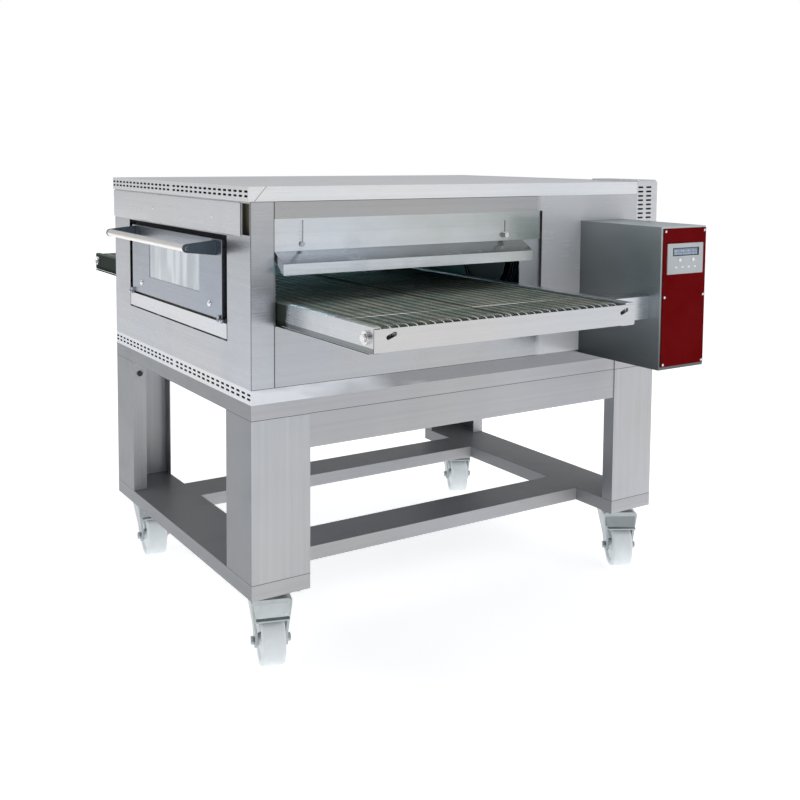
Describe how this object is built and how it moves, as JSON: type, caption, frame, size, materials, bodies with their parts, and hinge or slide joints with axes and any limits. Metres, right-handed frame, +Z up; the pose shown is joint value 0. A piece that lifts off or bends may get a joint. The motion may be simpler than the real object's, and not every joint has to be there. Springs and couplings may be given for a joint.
{
  "type": "conveyor pizza oven",
  "caption": "Conveyor pizza oven on a wheeled stand: a wire belt runs through a brushed steel baking tunnel with hooded mouths, window door and side control box.",
  "frame": {"origin": "middle of the footprint on the floor, at the lowest points of the caster wheels", "axes": "+X along the belt from the entry side to the exit side with the control box, -Y towards the operator and the window door, +Z up"},
  "size_m": [2.036, 1.58, 1.307],
  "materials": {
    "stand_steel": "vertical brushed, mid grey",
    "stainless": "fine brushed",
    "zinc": "zinc plated pressed steel",
    "black_plastic": "moulded",
    "liner_steel": "heat tinted",
    "insulation_wool": "mineral wool",
    "element_sheath": "oxidised",
    "motor_paint": "satin enamel",
    "door_steel": "satin",
    "window_glass": "clear, slightly hazed",
    "handle_aluminium": "satin anodised",
    "slate_paint": "satin",
    "bolt_steel": "turned, bright",
    "belt_wire": "heat tinted woven wire",
    "chain_steel": "oiled",
    "red_paint": "gloss powder coat",
    "bezel_plastic": "satin",
    "lcd_window": "clear cover over a grey display",
    "button_plastic": "smooth",
    "wheel_nylon": "moulded nylon",
    "circuit_board": "solder mask with dark components"
  },
  "bodies": {
    "oven": {"air_jet_boxes": "liner_steel", "base_pan": "stainless", "belt_support_frame": "bolt_steel", "cable_gland": "black_plastic", "caster_plates": "zinc", "chamber_insulation": "insulation_wool", "chamber_liner": "liner_steel", "control_board": "circuit_board", "control_box": "stainless", "control_panel": "red_paint", "display": "lcd_window", "display_bezel": "bezel_plastic", "drive_chain": "chain_steel", "drive_housing": "stainless", "entry_side_panel": "stainless", "exit_side_panel": "stainless", "fan_motor": "motor_paint", "front_panel": "stainless", "front_rail": "stainless", "gearmotor": "motor_paint", "heating_elements": "element_sheath", "lower_cross_rails": "stand_steel", "lower_side_beams": "stand_steel", "panel_screws": "bolt_steel", "rear_casing": "stainless", "rear_rail": "stainless", "roof_cover": "stainless", "roof_rear_cap": "stainless", "shaft_bearings": "bolt_steel", "sill_panel": "stainless", "stand_legs": "stand_steel", "top_frame": "stand_steel", "upper_front_cover": "stainless", "wire_belt": "belt_wire"},
    "door": {"door_frame": "door_steel", "door_glass": "window_glass", "door_handle_bar": "handle_aluminium", "handle_brackets": "slate_paint", "door_bolts": "bolt_steel", "door_hinge_pins": "bolt_steel"},
    "exit_gate": {"exit_gate": "stainless"},
    "entry_gate": {"entry_gate": "stainless"},
    "exit_gate_knob": {"exit_gate_knob": "bolt_steel"},
    "entry_gate_knob": {"entry_gate_knob": "bolt_steel"},
    "drive_shaft": {"drive_shaft": "bolt_steel"},
    "idler_shaft": {"idler_shaft": "bolt_steel"},
    "drive_spindle": {"drive_spindle": "bolt_steel"},
    "fan_impeller": {"fan_impeller": "liner_steel"},
    "exit_crumb_tray": {"exit_crumb_tray": "stainless"},
    "entry_crumb_tray": {"entry_crumb_tray": "stainless"},
    "button_left": {"button_left": "button_plastic"},
    "button_right": {"button_right": "button_plastic"},
    "caster_fork_front_exit": {"caster_fork_front_exit": "zinc"},
    "caster_fork_rear_exit": {"caster_fork_rear_exit": "zinc"},
    "caster_fork_front_entry": {"caster_fork_front_entry": "zinc"},
    "caster_fork_rear_entry": {"caster_fork_rear_entry": "zinc"},
    "caster_wheel_front_exit": {"caster_wheel_front_exit": "wheel_nylon"},
    "caster_wheel_rear_exit": {"caster_wheel_rear_exit": "wheel_nylon"},
    "caster_wheel_front_entry": {"caster_wheel_front_entry": "wheel_nylon"},
    "caster_wheel_rear_entry": {"caster_wheel_rear_entry": "wheel_nylon"}
  },
  "joints": [
    {"name": "door_hinge", "type": "hinge", "parent": "oven", "child": "door", "pos_m": [0, -0.697, 0.93], "axis": [1, 0, 0], "range_deg": [0, 90]},
    {"name": "exit_gate_slide", "type": "slide", "parent": "oven", "child": "exit_gate", "axis": [0, 0, 1], "range_m": [-0.035, 0]},
    {"name": "exit_gate_knob_turn", "type": "hinge", "parent": "oven", "child": "exit_gate_knob", "pos_m": [0.54, 0.149, 1.147], "axis": [1, 0, 0], "continuous": true},
    {"name": "exit_crumb_tray_slide", "type": "slide", "parent": "oven", "child": "exit_crumb_tray", "axis": [1, 0, 0], "range_m": [0, 0.42]},
    {"name": "entry_gate_slide", "type": "slide", "parent": "oven", "child": "entry_gate", "axis": [0, 0, 1], "range_m": [-0.035, 0]},
    {"name": "entry_gate_knob_turn", "type": "hinge", "parent": "oven", "child": "entry_gate_knob", "pos_m": [-0.54, 0.149, 1.147], "axis": [-1, 0, 0], "continuous": true},
    {"name": "entry_crumb_tray_slide", "type": "slide", "parent": "oven", "child": "entry_crumb_tray", "axis": [-1, 0, 0], "range_m": [0, 0.42]},
    {"name": "drive_shaft_spin", "type": "hinge", "parent": "oven", "child": "drive_shaft", "pos_m": [0.9845, -0.2, 0.9715], "axis": [0, 1, 0], "continuous": true},
    {"name": "idler_shaft_spin", "type": "hinge", "parent": "oven", "child": "idler_shaft", "pos_m": [-0.9845, -0.2, 0.9715], "axis": [0, 1, 0], "continuous": true},
    {"name": "drive_spindle_spin", "type": "hinge", "parent": "oven", "child": "drive_spindle", "pos_m": [0.801, 0.3, 0.965], "axis": [0, 1, 0], "continuous": true},
    {"name": "fan_spin", "type": "hinge", "parent": "oven", "child": "fan_impeller", "pos_m": [0, 0.52, 1.021], "axis": [0, 1, 0], "continuous": true},
    {"name": "swivel_front_exit", "type": "hinge", "parent": "oven", "child": "caster_fork_front_exit", "pos_m": [0.462, -0.602, 0.181], "axis": [0, 0, 1], "continuous": true},
    {"name": "wheel_front_exit", "type": "hinge", "parent": "caster_fork_front_exit", "child": "caster_wheel_front_exit", "pos_m": [0.49624, -0.61312, 0.07], "axis": [0.309, 0.9511, 0], "continuous": true},
    {"name": "swivel_rear_exit", "type": "hinge", "parent": "oven", "child": "caster_fork_rear_exit", "pos_m": [0.462, 0.716, 0.181], "axis": [0, 0, 1], "continuous": true},
    {"name": "wheel_rear_exit", "type": "hinge", "parent": "caster_fork_rear_exit", "child": "caster_wheel_rear_exit", "pos_m": [0.49286, 0.69746, 0.07], "axis": [0.515, 0.8572, 0], "continuous": true},
    {"name": "swivel_front_entry", "type": "hinge", "parent": "oven", "child": "caster_fork_front_entry", "pos_m": [-0.462, -0.602, 0.181], "axis": [0, 0, 1], "continuous": true},
    {"name": "wheel_front_entry", "type": "hinge", "parent": "caster_fork_front_entry", "child": "caster_wheel_front_entry", "pos_m": [-0.42635, -0.60701, 0.07], "axis": [0.1392, 0.9903, 0], "continuous": true},
    {"name": "swivel_rear_entry", "type": "hinge", "parent": "oven", "child": "caster_fork_rear_entry", "pos_m": [-0.462, 0.716, 0.181], "axis": [0, 0, 1], "continuous": true},
    {"name": "wheel_rear_entry", "type": "hinge", "parent": "caster_fork_rear_entry", "child": "caster_wheel_rear_entry", "pos_m": [-0.42964, 0.70022, 0.07], "axis": [0.4384, 0.8988, 0], "continuous": true},
    {"name": "button_left_press", "type": "slide", "parent": "oven", "child": "button_left", "axis": [-1, 0, 0], "range_m": [0, 0.0012], "stiffness_N_per_m": 500},
    {"name": "button_right_press", "type": "slide", "parent": "oven", "child": "button_right", "axis": [-1, 0, 0], "range_m": [0, 0.0012], "stiffness_N_per_m": 500}
  ],
  "couplings": [
    {"joint": "idler_shaft_spin", "follows": "drive_shaft_spin", "ratio": 1},
    {"joint": "drive_spindle_spin", "follows": "drive_shaft_spin", "ratio": 1}
  ]
}
